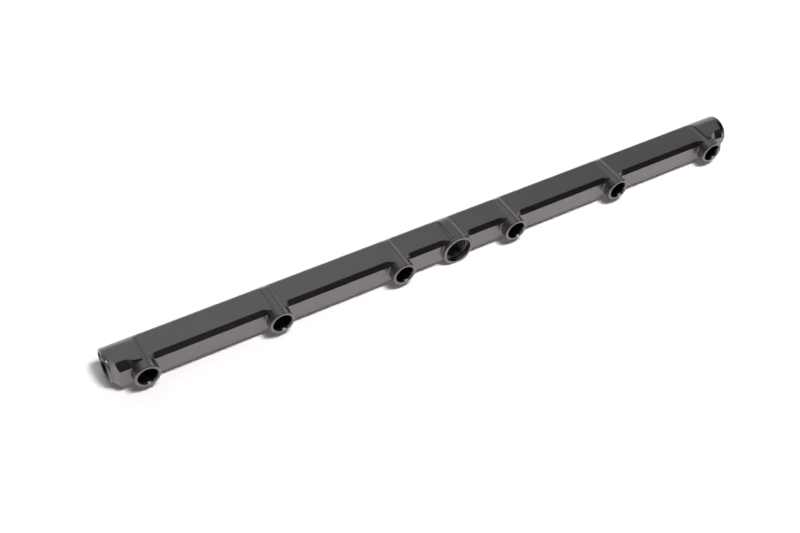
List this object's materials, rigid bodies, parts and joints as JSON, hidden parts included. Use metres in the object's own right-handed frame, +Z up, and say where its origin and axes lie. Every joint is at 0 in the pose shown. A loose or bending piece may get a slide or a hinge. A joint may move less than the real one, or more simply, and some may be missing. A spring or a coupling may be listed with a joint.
{
  "type": "fuel rail",
  "caption": "Black anodised billet fuel rail for an inline engine: round bar with front injector cups, milled top flats, a centre feed port and open end ports.",
  "frame": {"origin": "middle of the footprint, on the surface that the rail lies on", "axes": "+X along the rail from the first cup to the last, +Z up, injector cups face -Y"},
  "size_m": [0.5312, 0.0358, 0.0248],
  "materials": {
    "rail": "satin"
  },
  "bodies": {
    "root": {"rail_body": "rail"}
  },
  "joints": []
}
